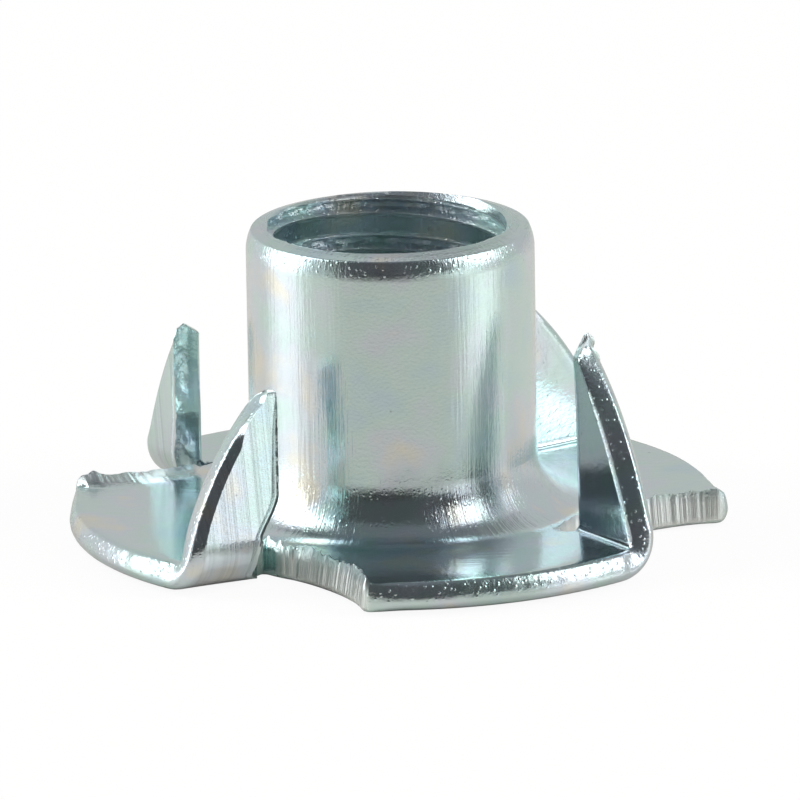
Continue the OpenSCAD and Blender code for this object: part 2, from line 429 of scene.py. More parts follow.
# Each sheared edge: how tall its burr is, how wide its roll, how scored and how torn.
EDGE_BURRS = [0.05, 0.1, 0.1, 0.08]
EDGE_ROLLS = [0.35, 1.0, 1.0, 0.7]
EDGE_SCORES = [0.5, 1.0, 1.0, 0.25]
EDGE_TEARS = [0.2, 1.0, 1.0, 1.0]
print("widths of the points as they are cut, mm:", TIP_WIDTHS)

# %% Four prongs
BEND_RINGS, BLADE_RINGS, ACROSS = 34, 64, 12
# The rungs of the rim's ladder that lie on its roll.
ROLL = slice(1, 8)
# Where a prong is narrower than this, its ladders shrink.
FULL_WIDTH = 1.9


def outer_depth(k, u, width, pressed):
    """How deep prong k's outer face lies under its plane, at a distance u from the rim."""
    t = np.clip(1 - u / width, 0, 1)
    rolled = 1 - np.sqrt(1 - t * t)
    high = DIE_ROLL_H + (ROLL_DEPTHS[k] - DIE_ROLL_H) * pressed
    return high * (rolled + (0.8 * t + 0.2 * t ** 7 - rolled) * pressed)


def sheared_face(k, past):
    """How tall the burr stands, and how deep the face is worn, along sheared edge k."""
    burr = EDGE_BURRS[k] * (0.6 + 0.3 * ragged(past, k + 40, 0.3)
                            + 0.25 * ragged(past, k + 50, 0.12))
    score = EDGE_SCORES[k] * (0.012 * ragged(past, k + 60, 0.09)
                              + 0.014 * ragged(past, k + 70, 0.25))
    deep = np.arange(RUNGS)[None] * 0.37
    rough = (ragged(past + deep, k + 43, 0.4) + 0.6 * ragged(past - 1.7 * deep, k + 47, 0.19)
             + 0.7 * ragged(past, k + 49, 0.8))
    tear = EDGE_TEARS[k] * PRONG_TORN * (0.03 + 0.045 * rough)
    return burr, PRONG_GROOVED * score + tear


def prong_marks(k, past, x, grow, pressed):
    """Prong k's four marks, round each of its rings."""
    none, plain = np.zeros(ACROSS), np.zeros(RUNGS + ACROSS)
    sheared = np.concatenate([plain, PRONG_GROOVED[::-1], none])
    on_cut = np.concatenate([plain, np.ones(RUNGS), none])
    run = on_cut * past + (1 - on_cut) * x
    sloped = np.concatenate([[0.1, 0.3], np.full(5, 0.6), RIM_RUBBED[7:]])
    on_rim = RIM_RUBBED + (sloped - RIM_RUBBED) * pressed
    on_edge = np.maximum(0.7 * BURR, EDGE_TEARS[k] * PRONG_TORN[::-1])
    beyond = np.tile(np.concatenate([none, on_edge, none]), (len(past), 1))
    # The punch scuffs the outer face and most of the roll beside it.
    scuffed = np.concatenate([[1] * 6 + [0.6, 0.3], np.zeros(RUNGS - 8 + ACROSS + RUNGS),
                              np.ones(ACROSS)]) * smooth(past / 0.3)
    return (0.3 * EDGE_SCORES[k] * sheared * grow, run,
            np.concatenate([on_rim, beyond], 1), scuffed)


def prong_rings(k):
    """Places and marks of prong k, with a row for each ring of points round it."""
    used, start = sheet_used(k), -BEND_OFFSETS[k]
    tip = start
    while rim_reach(tip) > SHEAR_FEET[k] + (tip - start) * SHEAR_LEAN + TIP_WIDTHS[k]:
        tip -= 0.01
    whole = start - tip
    past = np.concatenate([np.linspace(0, used, BEND_RINGS)[:-1],
                           np.linspace(used, whole, BLADE_RINGS)])[:, None]
    s = past / whole
    blade = smooth((past - used) / (whole - used) * 1.3)
    across = np.linspace(0, 1, ACROSS + 2)[1:-1]
    grow = smooth(past / 0.8)
    pressed = smooth(past / (used + 0.8))
    # Towards the point the slope narrows away.
    slope_w = ROLL_WIDTHS[k] * (1 - ROLL_ENDS[k] * smooth((s - 0.7) / 0.16))
    roll_width = DIE_ROLL_R + (slope_w - DIE_ROLL_R) * pressed

    def height(w):
        """How far past the bend line each ring lies, at each depth."""
        deep = np.clip((w - TIP_DEPTH) / (SHEET_T - TIP_DEPTH), 0, 1)
        shallow = np.clip((TIP_DEPTH - w) / TIP_DEPTH, 0, 1) ** 2
        return (whole + (TIP_LIFTS[k] - TIP_BEVELS[k] * (deep + 0.25 * shallow)) * blade) * s

    def sides(w):
        """The rim's x, the sheared edge's x and the y of each ring, at each depth."""
        up = height(w)
        share = np.clip(up / whole, 0, 1)
        pull = (RIM_PULL[k] + INNER_PULL[k] * w / SHEET_T) * np.sin(share * pi) ** 0.7
        blank_y = np.minimum(up, whole)
        rim_x = -np.sqrt(FLANGE_R ** 2 - (start - blank_y) ** 2) + pull
        cut_x = -(SHEAR_FEET[k] - blank_y * SHEAR_LEAN) + 0 * rim_x
        # The slit's end is swept out towards the rim, most of all on the outer face.
        sweep = smooth(up / 0.8) * (1 - smooth((up - 1.1) / 2.2)) * (1 - 0.7 * w / SHEET_T)
        cut_x = cut_x - EDGE_SHIFTS[k] * smooth(up) - FOOT_SWEEPS[k] * sweep
        # The last of the point narrows along a round.
        near = np.clip((up - (whole + TIP_LIFTS[k] - TIP_ROUND)) / TIP_ROUND, 0, 1)
        return rim_x + (cut_x - rim_x) * 0.75 * (1 - np.sqrt(1 - near ** 2)), cut_x, start - up

    # Up the rim's ladder.
    n = len(past)
    rim_u, rim_w = np.tile(RIM_EDGE.T[:, None], (1, n, 1))
    rim_x, cut_x, ry = sides(rim_w)
    width = cut_x - rim_x
    rolled = 1 - RIM_EDGE[ROLL, 0] / DIE_ROLL_R
    rim_u[:, ROLL] = roll_width * (1 - rolled - (SLOPE_RUNGS - rolled) * pressed)
    rim_u[:, :1] = roll_width * (1.32 - 0.26 * pressed)
    rim_u[:, ROLL.stop:] *= 1 - SQUARED[k] * pressed
    rim_u *= np.clip(width / (FULL_WIDTH * roll_width / DIE_ROLL_R), 0.02, 1)
    rim_w[:, :ROLL.stop] = outer_depth(k, rim_u[:, :ROLL.stop], roll_width, pressed)
    rx = rim_x + rim_u
    # Down the sheared edge's ladder, which ends where the outer face is.
    cut = grow[..., None] * PRONG_CUT + (1 - grow[..., None]) * PLAIN_EDGE
    cut_u, cut_w = cut[..., 0].copy(), cut[..., 1].copy()
    rim_x, cut_x, cy = sides(cut_w)
    width = cut_x - rim_x
    cut_u *= np.clip(width / FULL_WIDTH, 0.02, 1)
    cut_u[:, :4] *= EDGE_ROLLS[k]
    burr, worn = sheared_face(k, past)
    sunk = outer_depth(k, width - cut_u, roll_width, pressed)
    cut_w = cut_w + PRONG_BURR * burr * grow + sunk * (1 - np.clip(cut_w / SHEET_T, 0, 1))
    cx = cut_x - cut_u - worn * grow
    # Across the inner face and back across the outer one.
    tw = np.full((n, ACROSS), SHEET_T)
    ty = sides(tw)[2]
    tx = rx[:, -1:] + (cx[:, -1:] - rx[:, -1:]) * across
    bx = rx[:, :1] + (cx[:, :1] - rx[:, :1]) * across
    rim_x, _, by = sides(0 * tw)
    bw = outer_depth(k, bx - rim_x, roll_width, pressed)
    x, y, w = [np.concatenate([a, b, c[:, ::-1], d[:, ::-1]], 1) for a, b, c, d in
               ((rx, tx, cx, bx), (ry, ty, cy, by), (rim_w, tw, cut_w, bw))]
    return fold(k, x, y, w), prong_marks(k, past, x, grow, pressed)


def add_prong(k):
    """Adds prong k. Returns its point numbers and places, a row for each ring."""
    p, prong_mark = prong_rings(k)
    n = add_points(turned(k, p), *prong_mark)
    add_quads(n, round_trip=True)
    # Three shrinking rings and a last point round the tip off.
    last, heart = p[-1], p[-1].mean(0)
    up = np.array([0, -cos(PRONG_FOLDS[k]), sin(PRONG_FOLDS[k])])
    rows = [heart + (last - heart) * shrink + up * lift
            for shrink, lift in ((0.9, 0.05), (0.66, 0.11), (0.35, 0.15))]
    run = prong_mark[1][-1]
    cap = add_points(turned(k, np.array([last, *rows])), 0.6, run, 0.6)
    add_quads(cap, round_trip=True)
    tip = add_points(turned(k, (heart + up * 0.16)[None]), 0.6, run[0], 0.6)[0]
    ring = cap[-1].tolist()
    faces.extend([a, b, tip] for a, b in zip(ring, ring[1:] + ring[:1]))
    return n, p


prongs = [add_prong(k) for k in range(4)]
print("highest point of each prong, mm:", np.round([p[..., 2].max() for _, p in prongs], 2))

# %% [markdown]
# ## The flange's two faces
# The top and the underside are flat, but their outline isn't simple. Filling it
# by hand would take a patchwork of grids. A constrained Delaunay fill joins the
# outline, the ring round the barrel and evenly scattered points between them
# into well-shaped triangles.

# %% Fill the flange between its outline and the barrel
AROUND = 256
# Where the fillet ends on top and the drawn mouth ends below.
FILLET_END_R = 7.62
MOUTH_END_R = 7.45
# How far apart the scattered points are, and how clear of the edges they stay.
FILL_STEP, FILL_GAP = 0.42, 0.2
ring_angles = np.linspace(0, 2 * pi, AROUND, endpoint=False)


def loop_of(top):
    """Point numbers round the flange's top or bottom face, anticlockwise."""
    loop = []
    for k in range(4):
        # The prong's ladder and the wall's meet at four flat rungs.
        n, row = walls[k], prongs[k][0][0]
        if top:
            loop += [*row[RUNGS - 1:RUNGS + ACROSS + 4], *n[0, RUNGS - 3:], *n[1:-1, -1]]
        else:
            loop += [row[0], *row[::-1][:ACROSS + 4], *n[0, 2::-1], *n[1:-1, 0]]
    return loop


def fill(loop, ring, z, upward):
    """Fills the face between a loop and the ring of points round the barrel."""
    every = np.concatenate(points)
    edge = every[loop][:, :2]
    hub_r = np.hypot(*every[ring[0]][:2])
    g = np.arange(-FLANGE_R, FLANGE_R, FILL_STEP)
    gx, gy = np.meshgrid(g, g * sqrt(3) / 2)
    gx = gx + np.where(np.arange(len(g))[:, None] % 2, FILL_STEP / 2, 0)
    seed = np.stack([gx.ravel(), gy.ravel()], 1)
    r = np.hypot(*seed.T)
    seed = seed[(r < FLANGE_R - FILL_GAP) & (r > hub_r + FILL_GAP)]
    gap = np.min(np.hypot(seed[:, None, 0] - edge[None, :, 0],
                          seed[:, None, 1] - edge[None, :, 1]), 1)
    seed = seed[gap > FILL_GAP]

    def inside(q):
        """Which places lie in the face, by counting the edges to one side."""
        x0, y0 = edge.T
        x1, y1 = np.roll(edge, -1, 0).T
        hit = np.zeros(len(q), int)
        for a, b, c, d in zip(x0, y0, x1, y1):
            cross = (b > q[:, 1]) != (d > q[:, 1])
            hit += cross & (q[:, 0] < (c - a) * (q[:, 1] - b) / (d - b + 1e-12) + a)
        return (hit % 2 == 1) & (np.hypot(*q.T) > hub_r * 0.9995)

    seed = seed[inside(seed)]
    known = np.concatenate([edge, every[ring][:, :2]])
    extra = add_points(np.concatenate([seed, np.full((len(seed), 1), z)], 1))
    numbers = np.array([*loop, *ring, *extra])
    flat = [Vector(v) for v in np.concatenate([known, seed])]
    m, h = len(loop), len(ring)
    edges = [(i, (i + 1) % m) for i in range(m)] + [(m + i, m + (i + 1) % h) for i in range(h)]
    verts, _, tris, origin, _, _ = delaunay_2d_cdt(flat, edges, [], 0, 1e-9)
    named = np.array([numbers[o[0]] for o in origin])
    tris = np.array(tris)
    centre = np.array([v[:] for v in verts])[tris].mean(1)
    in_hub = np.isin(named[tris], ring).all(1)
    tris = named[tris[inside(centre) & ~in_hub]]
    if not upward:
        tris = tris[:, ::-1]
    faces.extend(tris.tolist())
    return len(tris)


def ring_at(r, z, angles=ring_angles):
    """Points round the axis at a radius and a height."""
    return np.stack([r * np.cos(angles), r * np.sin(angles), z + 0 * angles], -1)


top_ring = add_points(ring_at(FILLET_END_R, SHEET_T))
bottom_ring = add_points(ring_at(MOUTH_END_R, 0.0))
print("triangles on top:", fill(loop_of(True), list(top_ring), SHEET_T, True))
print("triangles below:", fill(loop_of(False), list(bottom_ring), 0.0, False))

# %% [markdown]
# ## The barrel and its thread
# The outside is a profile swept round the axis: fillet, wall and rolled rim.
# The thread is cut into the bore. A boolean with a helix would leave a poor
# mesh, so the bore's own rows climb with the thread by one pitch a turn, and
# lie on its crest, flanks and root. Where the groove runs out through the mouth,
# they stop at the rim.

# %% Outside of the barrel
FILLET_H = 2.2
# Where the straight wall starts, and where the rim's roll starts.
WALL_FOOT_Z, WALL_TOP_Z = 3.4, 11.71
# Radius, first and last slope in degrees, and steps of each arc of the rim.
RIM_ARCS = [(0.95, 0, 5, 2), (2.0, 5, 25, 9), (0.12, 25, 76, 7)]


def fillet_and_side():
    """The barrel's profile, as radii and heights, from the flange up to the rim."""
    rows = [(FILLET_END_R, SHEET_T)]
    wide = FILLET_END_R - BARREL_R
    for a in np.linspace(0, pi / 2, 30)[1:]:
        rows.append((FILLET_END_R - wide * sin(a), SHEET_T + FILLET_H * (1 - cos(a))))
    rows += [(BARREL_R, z) for z in np.linspace(WALL_FOOT_Z, WALL_TOP_Z, 16)[1:]]
    # The rim is rolled in: a quick turn, a long arc and a small round.
    r, z = BARREL_R, WALL_TOP_Z
    for radius, begin, end, steps in RIM_ARCS:
        begin, end = radians(begin), radians(end)
        for a in np.linspace(begin, end, steps + 1)[1:]:
            rows.append((r - radius * (cos(begin) - cos(a)), z + radius * (sin(a) - sin(begin))))
        r, z = rows[-1]
    return rows


profile = fillet_and_side()
outside = np.array([ring_at(r, z) for r, z in profile])
# The drawing punch has rubbed the rim, and the die has rubbed the fillet.
up = np.array(profile)[:, 1:]
rim_rub = (0.8 * smooth((up - 11.75) / 0.3)
           + 0.4 * smooth((3.35 - up) / 0.3) * smooth((up - 1.3) / 0.3))
add_quads(add_points(outside, 0, 0, rim_rub)[::-1], round_trip=True)
print("rows up the barrel:", len(outside))

# %% The bore, with its thread
PITCH = 1.5
ROOT_R = 5.0
# Width of the thread's crest, and half the width of the groove beside it.
CREST_W = 0.98
HALF_GROOVE = (PITCH - CREST_W) / 2
# Height of a turn of the groove's middle at angle 0.
GROOVE_MID_Z = 11.775
# Where the groove starts, and over what height it deepens.
THREAD_FOOT_Z, THREAD_INLET = 2.9, 0.9
# Radius of the small round that breaks the mouth of the bore.
MOUTH_BREAK = 0.24


def off_groove(angle, z):
    """Distance up or down from the middle of the groove."""
    mid = GROOVE_MID_Z + PITCH * angle / (2 * pi)
    return np.abs((z - mid + PITCH / 2) % PITCH - PITCH / 2)


def cut_in(z):
    """How much of its full depth the groove has at a height."""
    return smooth((z - THREAD_FOOT_Z) / THREAD_INLET)


def bore_radius(angle, z):
    """Radius of the threaded bore at an angle and a height."""
    off = off_groove(angle, z)
    groove = smooth((HALF_GROOVE + 0.03 - off) / 0.2)
    lip = np.exp(-((off - HALF_GROOVE - 0.06) / 0.05) ** 2)
    mouth = MOUTH_BREAK * (1 - np.sqrt(1 - np.clip((z - NUT_H) / MOUTH_BREAK + 1, 0, 1) ** 2))
    # The way round starts again each turn, so that the lumps meet at the seam.
    along = angle % (2 * pi) * CREST_R
    lumps = ragged(along + 3.1 * z, 5, 0.3) + 0.7 * ragged(along - 5.3 * z, 6, 0.17)
    depth = (ROOT_R - CREST_R + 0.05 * lumps) * groove - (0.04 + 0.02 * lumps) * lip
    return CREST_R + np.maximum(depth * cut_in(z), mouth)


def tap_torn(angle, z):
    """Where the tap has torn the metal: in the groove and along its lips."""
    return smooth((HALF_GROOVE + 0.14 - off_groove(angle, z)) / 0.12) * cut_in(z)


turns_down = int((NUT_H - MOUTH_ROUND_R) / PITCH) + 3
# Rows on the groove's flanks, then on the crest.
flank = HALF_GROOVE + np.array([0.03, -0.04, -0.1, -0.17])
rows_in_pitch = np.concatenate([
    -flank, [0.0], flank[::-1], HALF_GROOVE + np.array([0.09, 0.2]), [PITCH / 2],
    PITCH - HALF_GROOVE - np.array([0.2, 0.09])])
heights = np.concatenate([GROOVE_MID_Z + PITCH * t + rows_in_pitch
                          for t in range(-turns_down, 3)])
rows_z = heights[:, None] + PITCH * ring_angles[None, :] / (2 * pi)
# After a turn each row meets the next, so the first column comes again, one
# pitch up, and closes the seam.
rows_z = np.concatenate([rows_z, heights[:, None] + PITCH], 1)
bore_angles = np.append(ring_angles, 2 * pi)[None, :] + 0 * rows_z
rows_z = np.clip(rows_z, MOUTH_ROUND_R, NUT_H)
bore_r = bore_radius(bore_angles, rows_z)
add_quads(add_points(ring_at(bore_r, rows_z, bore_angles), 0, 0,
                     1.8 * tap_torn(bore_angles, rows_z)))
print("rows in the bore:", len(heights))

# %% [markdown]
# ## Closing the barrel's ends
# Above, the barrel ends in a narrow flat inside the rolled rim. Below, the sheet
# turned up into the barrel and left a wide round. Both are strips of rings. The
# thread leaves the bore's mouth out of round, so a lathed ring wouldn't meet it.

# %% Rim and drawn mouth
# How far across the rim each ring lies, and how far under its top.
RIM_ROWS = [(0.3, 0.7), (0.6, 0.4), (0.85, 0.15), (0.95, 0.04), (1.0, 0.0)]
mouth_r = bore_radius(ring_angles, NUT_H + 0 * ring_angles)
lip = [outside[-1]]
lip_r, lip_drop = hypot(*outside[-1][0][:2]), NUT_H - outside[-1][0][2]
for share, drop in RIM_ROWS:
    lip.append(ring_at(lip_r + (mouth_r - lip_r) * share, NUT_H - drop * lip_drop))
add_quads(add_points(np.array(lip), 0, 0, 0.4)[::-1], round_trip=True)
entry = [ring_at(CREST_R + MOUTH_ROUND_R * (1 - cos(a)), MOUTH_ROUND_R * (1 - sin(a)))
         for a in np.linspace(0, pi / 2, 18)]
add_quads(add_points(np.array(entry))[::-1], round_trip=True)
print("mouth radius, mm:", np.round([mouth_r.min(), mouth_r.max()], 2))

# %% [markdown]
# ## One skin
# The real nut is one piece of steel, so its skin is one closed mesh. The sheets
# share the places along their borders, so welding those joins them without a
# boolean. Before that the whole is dished and tilted by about a tenth of a
# millimetre, since a press leaves nothing quite true.

# %% Weld everything into one skin
# How far the flange's rim has risen, from what radius, and over what width.
RIM_LIFT, LIFT_FROM, LIFT_OVER = 0.13, 7.7, 5.3
# How far the barrel's rim is lowered at the front, from what height, and over what.
RIM_TILT, TILT_FROM, TILT_OVER = 0.13, 10.5, 1.2
# Radius of the barrel's rim.
RIM_R = 5.4


def put(name, data):
    """Puts an object into the scene."""
    made = bpy.data.objects.new(name, data)
    bpy.context.scene.collection.objects.link(made)
    return made


def make_skin(name):
    """Makes the skin's object out of every point and face."""
    mesh = bpy.data.meshes.new(name)
    every = np.concatenate(points)
    # The flange is dished: pressing the prongs up has lifted its rim a little.
    away = np.hypot(every[:, 0], every[:, 1])
    every[:, 2] += RIM_LIFT * smooth((away - LIFT_FROM) / LIFT_OVER)
    # The barrel was cut a hair lower at the front.
    front = (1 - every[:, 1] / RIM_R) / 2
    every[:, 2] -= RIM_TILT * front * smooth((every[:, 2] - TILT_FROM) / TILT_OVER)
    every /= 1000
    mesh.from_pydata(every.tolist(), [], faces)
    table = np.concatenate(marks)
    for i, mark in enumerate(MARKS):
        layer = mesh.attributes.new(mark, "FLOAT", "POINT")
        layer.data.foreach_set("value", table[:, i].astype(np.float32))
    bm = bmesh.new()
    bm.from_mesh(mesh)
    bmesh.ops.remove_doubles(bm, verts=bm.verts, dist=2e-6)
    bmesh.ops.dissolve_degenerate(bm, dist=1e-7, edges=bm.edges)
    loose = [v for v in bm.verts if not v.link_faces]
    bmesh.ops.delete(bm, geom=loose, context="VERTS")
    bmesh.ops.recalc_face_normals(bm, faces=bm.faces)
    open_edges = sum(1 for e in bm.edges if len(e.link_faces) != 2)
    bm.to_mesh(mesh)
    bm.free()
    mesh.shade_smooth()
    mesh.set_sharp_from_angle(angle=radians(38))
    triangles = sum(len(p.vertices) - 2 for p in mesh.polygons)
    print(name, "triangles:", triangles, "open edges:", open_edges)
    return put(name, mesh)


skin = make_skin("tee_nut_skin")

# %% [markdown]
# ## A node at a time
# A material is a graph. One small function adds a node, sets its named
# settings and links its inputs. A few more stand on it for the commonest kinds,
# so each material below reads like a list.

# %% One function for every node
def node(tree, kind, settings=None, **inputs):
    """Adds a node. An input may be a value, another node or another node's output."""
    n = tree.nodes.new("ShaderNode" + kind)
    for key, value in (settings or {}).items():
        setattr(n, key, value)
    for key, value in inputs.items():
        slot = int(key[1:]) if key[0] == "_" and key[1:].isdigit() else key.replace("_", " ")
        if isinstance(value, bpy.types.Node):
            value = value.outputs[0]
        if isinstance(value, bpy.types.NodeSocket):
            tree.links.new(value, n.inputs[slot])
        else:
            n.inputs[slot].default_value = value
    return n


def maths(tree, operation, *values, kind="Math"):
    """Adds a maths node and returns its result."""
    inputs = {f"_{i}": value for i, value in enumerate(values)}
    return node(tree, kind, {"operation": operation}, **inputs).outputs[0]


def noise(tree, place, scale, detail, roughness=0.5):
    """Adds a noise pattern with lumps of about 1 / scale."""
    return node(tree, "TexNoise", Vector=place, Scale=scale, Detail=detail,
                Roughness=roughness).outputs["Fac"]


def between(tree, value, low, high, start, end, kind="LINEAR"):
    """Maps the range from low to high to the range from start to end."""
    return node(tree, "MapRange", {"interpolation_type": kind}, Value=value, From_Min=low,
                From_Max=high, To_Min=start, To_Max=end).outputs[0]


def blend(tree, kind, share, under, over):
    """Mixes one colour over another by a share."""
    return node(tree, "Mix", {"data_type": "RGBA", "blend_type": kind}, _0=share, _6=under,
                _7=over).outputs[2]


def cleared(owner):
    """The node tree of a material or a world, emptied."""
    owner.use_nodes = True
    owner.node_tree.nodes.clear()
    return owner.node_tree


def colour(hex_code):
    """Turns an sRGB hex colour into the linear one that shaders use."""
    parts = [int(hex_code[i:i + 2], 16) / 255 for i in (1, 3, 5)]
    return (*[c / 12.92 if c <= 0.04045 else ((c + 0.055) / 1.055) ** 2.4 for c in parts], 1)


print("palest blue of the plate, linear:", [round(c, 3) for c in colour("#C8DFE8")])

# %% [markdown]
# ## Blue-passivated zinc plate on cold-formed steel
# Zinc is plated on a few thousandths of a millimetre thick and then dipped in
# a blue passivate, a film so thin that it tints the bright metal pale blue,
# with a breath of green and yellow. Under it the metal keeps every mark of the
# press: lines drawn up the barrel, scored sheared faces, and a sparkle where a
# tool has rubbed an edge. All are noise in the object's own millimetres, since
# an image wrapped round the nut would need seams.

# %% Plating
# The film's tints, each with its place in the drift of thickness.
TINTS = [(0.3, "#C8DFE8"), (0.44, "#CDE5E2"), (0.58, "#D4E0E9"), (0.72, "#E4E4D8")]


def blue_passivated_zinc():
    """The plate's material: colour, then roughness, then relief."""
    material = bpy.data.materials.new("blue_passivated_zinc_plate")
    t = cleared(material)
    place = node(t, "TexCoord").outputs["Object"]
    # One unit of this is a millimetre.
    mm = node(t, "VectorMath", {"operation": "SCALE"}, _0=place, Scale=1000.0)
    sheared, run, rubbed, scuffed = [
        node(t, "Attribute", {"attribute_name": mark}).outputs["Fac"] for mark in MARKS]

    # Colour: the film's tint drifts over a few millimetres.
    tint = node(t, "ValToRGB", Fac=noise(t, mm, 0.35, 3.0))
    ramp = tint.color_ramp
    ramp.elements[0].position, ramp.elements[1].position = TINTS[0][0], TINTS[-1][0]
    for where, _ in TINTS[1:-1]:
        ramp.elements.new(where)
    for element, (_, paint) in zip(ramp.elements, TINTS):
        element.color = colour(paint)
    # Small dark specks, under a tenth of a millimetre across and far apart.
    cell = node(t, "TexVoronoi", Vector=mm, Scale=0.55)
    speck = between(t, cell.outputs["Distance"], 0.012, 0.035, 0.6, 1.0)
    toned = blend(t, "MULTIPLY", 1.0, tint, speck)
    # Scuffs show as dark and bright strokes too, 0.2 to 0.5 mm apart.
    along = node(t, "CombineXYZ", X=run)
    dragged = noise(t, along, 2.4, 4.0, 0.65)
    toned = blend(t, "MULTIPLY", scuffed, toned, between(t, dragged, 0.38, 0.5, 0.78, 1.0))
    # The plate grows coarser and whiter on the torn steel of a sheared face.
    frost = maths(t, "MULTIPLY", sheared, 0.75)
    toned = blend(t, "MIX", frost, toned, colour("#F6F9F6"))

    # Roughness: soft plate, cloudy in patches, and duller where the steel was
    # sheared, rubbed or tapped. Only the threaded bore is so near the axis.
    flat = maths(t, "MULTIPLY", mm, (1, 1, 0), kind="VectorMath")
    away = node(t, "VectorMath", {"operation": "LENGTH"}, _0=flat).outputs["Value"]
    tapped = between(t, away, 5.1, 5.25, 1.0, 0.0)
    rough = between(t, noise(t, mm, 0.9, 3.0), 0.3, 0.7, 0.11, 0.18)
    for where, more in ((sheared, 0.26), (rubbed, 0.1), (tapped, 0.1)):
        rough = maths(t, "MULTIPLY_ADD", where, more, rough)

    def relief(pattern, height, under, where=1.0):
        """Adds a pattern, with its height in micrometres, to the relief under it."""
        tall = maths(t, "MULTIPLY", pattern, where)
        return maths(t, "MULTIPLY_ADD", tall, height, under)

    # Lines drawn up the barrel and out over the fillet, about 0.2 mm apart.
    way = maths(t, "NORMALIZE", flat, kind="VectorMath")
    low = maths(t, "MULTIPLY", mm, (0, 0, 0.03), kind="VectorMath")
    round_it = maths(t, "MULTIPLY_ADD", way, (BARREL_R, BARREL_R, 0), low, kind="VectorMath")
    on_barrel = between(t, away, 7.2, 7.8, 1.0, 0.0)
    h = relief(noise(t, round_it, 7.0, 4.0, 0.65), 17.0, 0.0, on_barrel)
    # The drawn wall isn't quite even, so what it mirrors wavers a little.
    tall = maths(t, "MULTIPLY", mm, (1, 1, 0.4), kind="VectorMath")
    h = relief(noise(t, tall, 0.9, 1.0), 13.0, h, on_barrel)
    # Grain that rolling the sheet left in the flange, in lines along X.
    rolled_at = maths(t, "MULTIPLY", mm, (0.12, 1, 1), kind="VectorMath")
    off_barrel = maths(t, "SUBTRACT", 1.0, on_barrel)
    h = relief(noise(t, rolled_at, 4.0, 3.0, 0.6), 9.0, h, off_barrel)
    # The crystals of the plate, about 0.1 mm across. The tap leaves them rougher.
    grain = noise(t, mm, 9.0, 2.0)
    h = relief(grain, 5.0, h)
    h = relief(grain, 14.0, h, tapped)
    # Scoring across the sheared faces, 0.1 to 0.3 mm apart.
    h = relief(noise(t, along, 5.0, 3.0, 0.65), 85.0, h, sheared)
    # Scuffs that the punch has dragged along the prongs' outer faces.
    h = relief(dragged, 40.0, h, scuffed)
    # Torn and rubbed edges are dented, and specks 0.1 mm across stand up and glint.
    speckle = node(t, "TexVoronoi", Vector=mm, Scale=4.6).outputs["Distance"]
    h = relief(between(t, speckle, 0.05, 0.36, 1.0, 0.0, "SMOOTHSTEP"), 17.0, h, rubbed)
    h = relief(noise(t, mm, 6.0, 3.0), 14.0, h, rubbed)
    bump = node(t, "Bump", Height=h, Strength=1.0, Distance=0.000001)
    metal = node(t, "BsdfPrincipled", Metallic=1.0, Base_Color=toned, Roughness=rough, Normal=bump)
    node(t, "OutputMaterial", Surface=metal)
    return material


zinc = blue_passivated_zinc()
skin.data.materials.append(zinc)
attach(skin, "root")
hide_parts("tee_nut")
print(zinc.name, "nodes:", len(zinc.node_tree.nodes))

# %% [markdown]
# ## Floor
# The nut stands on a plain white table. To the camera the table glows white,
# and a small share of it takes real light, for the soft shadow under the flange.
# In the nut's mirror-bright faces it is a glossy pale sheet, lit by the
# softboxes and shaded by the nut. A plain glow would light the bends from below.

# %% White table
# Half the table's side in metres, and how much of it is free of real shadow.
TABLE_HALF, CLEAN_SHARE = 3.0, 0.93


def rectangle(name, w, h):
    """A flat rectangle, w and h from its middle to its sides."""
    mesh = bpy.data.meshes.new(name)
    mesh.from_pydata([(-w, -h, 0), (w, -h, 0), (w, h, 0), (-w, h, 0)], [], [(0, 1, 2, 3)])
    return put(name, mesh)


def white_table():
    """The table, and its two looks."""
    table = rectangle("table", TABLE_HALF, TABLE_HALF)
    material = bpy.data.materials.new("white_table")
    t = cleared(material)
    path = node(t, "LightPath").outputs
    seen = maths(t, "MAXIMUM", path["Is Camera Ray"], path["Is Glossy Ray"])
    seen = maths(t, "MAXIMUM", seen, path["Is Transmission Ray"])
    white = node(t, "Emission", Color=colour("#FFFFFF"), Strength=1.0)
    mirrored = node(t, "BsdfPrincipled", Base_Color=colour("#DCD6D0"), Roughness=0.1, IOR=1.65)
    glow = node(t, "MixShader", _0=path["Is Glossy Ray"], _1=white, _2=mirrored)
    paint = node(t, "BsdfDiffuse", Color=colour("#F4F4F4"))
    share = maths(t, "MULTIPLY", seen, CLEAN_SHARE)
    both = node(t, "MixShader", _0=share, _1=paint, _2=glow)
    node(t, "OutputMaterial", Surface=both)
    table.data.materials.append(material)


white_table()
print("table, metres wide:", 2 * TABLE_HALF)

# %% [markdown]
# ## Room
# Behind the nut all is white, while its bright faces mirror a pale grey room.
# One world does both, by asking what kind of ray meets it. Walls could be
# built instead, but they would shade the table.

# %% Room round the studio
def room():
    """White behind the nut, and pale grey walls in its reflections."""
    world = bpy.data.worlds.new("studio")
    bpy.context.scene.world = world
    t = cleared(world)
    camera_ray = node(t, "LightPath").outputs["Is Camera Ray"]
    walls_glow = node(t, "Background", Color=colour("#CCCAC7"), Strength=1.0)
    white = node(t, "Background", Color=colour("#FFFFFF"), Strength=1.0)
    pick = node(t, "MixShader", _0=camera_ray, _1=walls_glow, _2=white)
    node(t, "OutputWorld", Surface=pick)


room()
print("room set")

# %% [markdown]
# ## Lights and cards
# Bright metal shows its surroundings more than its own colour, so a studio is
# built round it. A softbox on either side gives the bright bands on the barrel,
# and cards, seen only in reflections, give the dark ones. Each is placed by two
# angles from the nut, since a far reflection shows only a direction.

